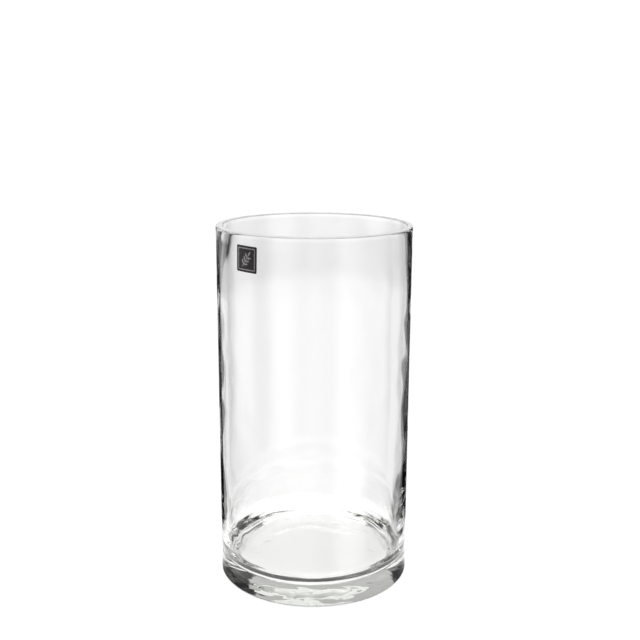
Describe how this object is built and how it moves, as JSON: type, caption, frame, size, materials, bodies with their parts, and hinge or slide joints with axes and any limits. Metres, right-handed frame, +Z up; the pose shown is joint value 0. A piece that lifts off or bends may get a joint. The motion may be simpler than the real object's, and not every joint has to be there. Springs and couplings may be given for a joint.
{
  "type": "glass cylinder vase",
  "caption": "Straight cylinder vase of clear glass with a thick solid base, a ground rim and a small square label, for holding cut flowers and water.",
  "frame": {"origin": "centre of the foot, on the plane that the vase stands on", "axes": "+Z up along the cylinder's axis, out of the mouth; -Y is the front, and the label is on the front left, towards -X"},
  "size_m": [0.15, 0.15, 0.28],
  "materials": {
    "clear_glass": "clear soda-lime glass with a faint grey-green tint in the thick base, and a satin white ground rim",
    "label_adhesive": "clear acrylic adhesive",
    "label_film": "satin dark charcoal label film",
    "label_print": "matte silver foil print"
  },
  "bodies": {
    "root": {"glass_vase": "clear_glass", "label_adhesive": "label_adhesive", "label_face": "label_film", "label_border_print": "label_print", "label_sprig_print": "label_print"}
  },
  "joints": []
}
